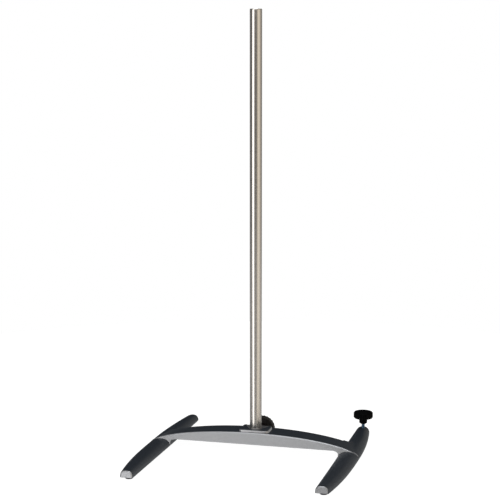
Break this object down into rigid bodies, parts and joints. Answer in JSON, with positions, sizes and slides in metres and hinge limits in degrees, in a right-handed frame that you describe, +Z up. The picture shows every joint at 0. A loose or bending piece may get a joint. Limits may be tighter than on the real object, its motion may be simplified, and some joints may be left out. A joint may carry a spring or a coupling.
{
  "type": "retort stand",
  "caption": "Laboratory retort stand: steel column clamped in an arched H-shaped base with silver fascia, rubber feet and a levelling screw.",
  "frame": {"origin": "middle of the base on the bench surface", "axes": "+Z up along the column, +X to the right, legs along Y with their silver tips at -Y"},
  "size_m": [0.504, 0.516, 1.032],
  "materials": {
    "anthracite": "satin anthracite lacquer",
    "silver_lacquer": "fine metallic silver lacquer",
    "socket_silver": "machined aluminium",
    "column_steel": "drawn and brushed stainless steel",
    "fastener_steel": "zinc-plated steel",
    "thread_steel": "blue-passivated zinc-plated steel",
    "brass": "turned brass",
    "knob_black": "black moulded plastic",
    "cover_dark": "dark moulded plastic",
    "rubber_black": "black rubber"
  },
  "bodies": {
    "base": {"cross_beam": "anthracite", "leg_left": "anthracite", "leg_right": "anthracite", "fascia": "silver_lacquer", "tip_cap_left": "silver_lacquer", "tip_cap_right": "silver_lacquer", "foot_front_left": "rubber_black", "foot_front_right": "rubber_black", "foot_rear_left": "rubber_black", "foot_screws": "fastener_steel", "leg_bolts": "fastener_steel", "leg_washers": "fastener_steel", "leg_dowels": "fastener_steel", "fascia_studs": "fastener_steel", "column_socket": "socket_silver", "socket_cover": "cover_dark", "socket_screws": "fastener_steel", "clamp_bush": "brass", "levelling_bush": "brass"},
    "column_foot": {"column_foot_plug": "fastener_steel"},
    "column": {"column_tube": "column_steel", "column_top_plug": "column_steel"},
    "clamp_plunger": {"clamp_plunger": "brass"},
    "clamp_screw": {"clamp_stud": "thread_steel", "clamp_knob": "knob_black"},
    "levelling_foot": {"levelling_foot": "knob_black", "levelling_sole": "rubber_black"},
    "levelling_screw": {"levelling_screw": "thread_steel", "levelling_knob": "knob_black"}
  },
  "joints": [
    {"name": "column_lift", "type": "slide", "parent": "base", "child": "column_foot", "axis": [0, 0, 1], "range_m": [0, 0.03]},
    {"name": "column_turn", "type": "hinge", "parent": "column_foot", "child": "column", "pos_m": [0, 0.036, 0.5], "axis": [0, 0, 1], "continuous": true},
    {"name": "clamp_press", "type": "slide", "parent": "base", "child": "clamp_plunger", "axis": [0, 1, 0], "range_m": [0, 0.003]},
    {"name": "clamp_turn", "type": "hinge", "parent": "clamp_plunger", "child": "clamp_screw", "pos_m": [0, 0.096, 0.04], "axis": [0, 1, 0], "range_deg": [-1, 721]},
    {"name": "levelling_travel", "type": "slide", "parent": "base", "child": "levelling_foot", "axis": [0, 0, 1], "range_m": [-0.008, 0.004]},
    {"name": "levelling_turn", "type": "hinge", "parent": "levelling_foot", "child": "levelling_screw", "pos_m": [0.2215, 0.231, 0.03], "axis": [0, 0, 1], "range_deg": [-2306, 1154]}
  ],
  "couplings": [
    {"joint": "clamp_turn", "follows": "clamp_press", "rad_per_m": 4188.8},
    {"joint": "levelling_turn", "follows": "levelling_travel", "rad_per_m": 5026.5}
  ]
}
